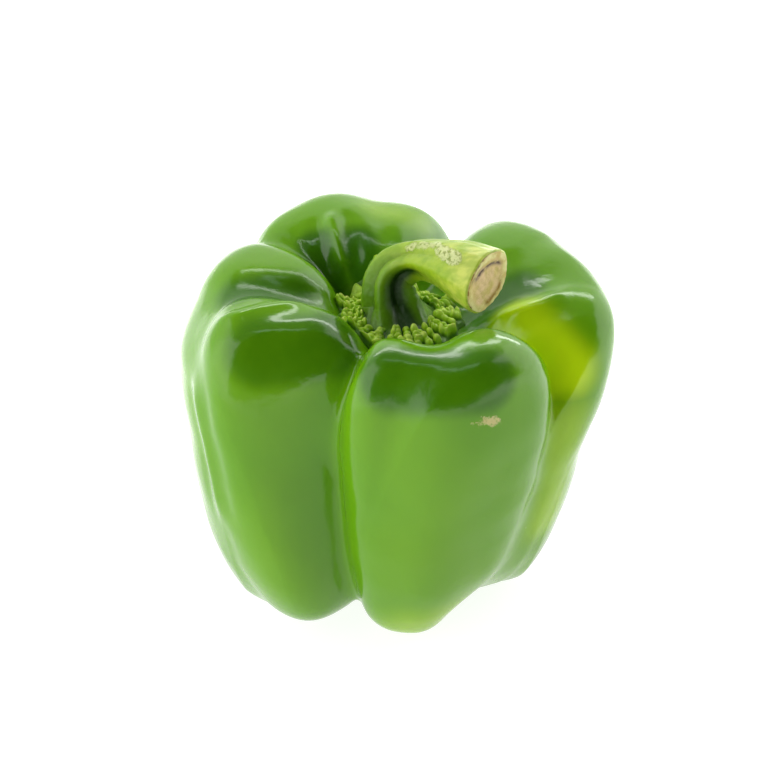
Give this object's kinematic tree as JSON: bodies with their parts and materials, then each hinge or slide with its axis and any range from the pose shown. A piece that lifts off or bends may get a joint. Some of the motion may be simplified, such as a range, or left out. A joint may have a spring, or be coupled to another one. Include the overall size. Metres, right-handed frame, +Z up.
{
  "type": "bell pepper",
  "caption": "Blocky green bell pepper with deep furrows between its lobes, a sunken calyx and a thick, bent stalk with a cut end.",
  "frame": {"origin": "centre of the bounding box's lower face, on the ground under the fruit", "axes": "+Z up, from the feet to the stalk; -Y toward the lobe that faces the viewer in the picture; +X to the picture's right, along the widest way across the fruit"},
  "size_m": [0.0894, 0.0774, 0.085],
  "materials": {
    "skin": "glossy waxy vegetable skin, mid green with darker and yellow-green areas",
    "stalk": "matt ribbed yellow-green stalk with a tan cut end"
  },
  "bodies": {
    "root": {"fruit": "skin", "stem": "stalk"}
  },
  "joints": []
}
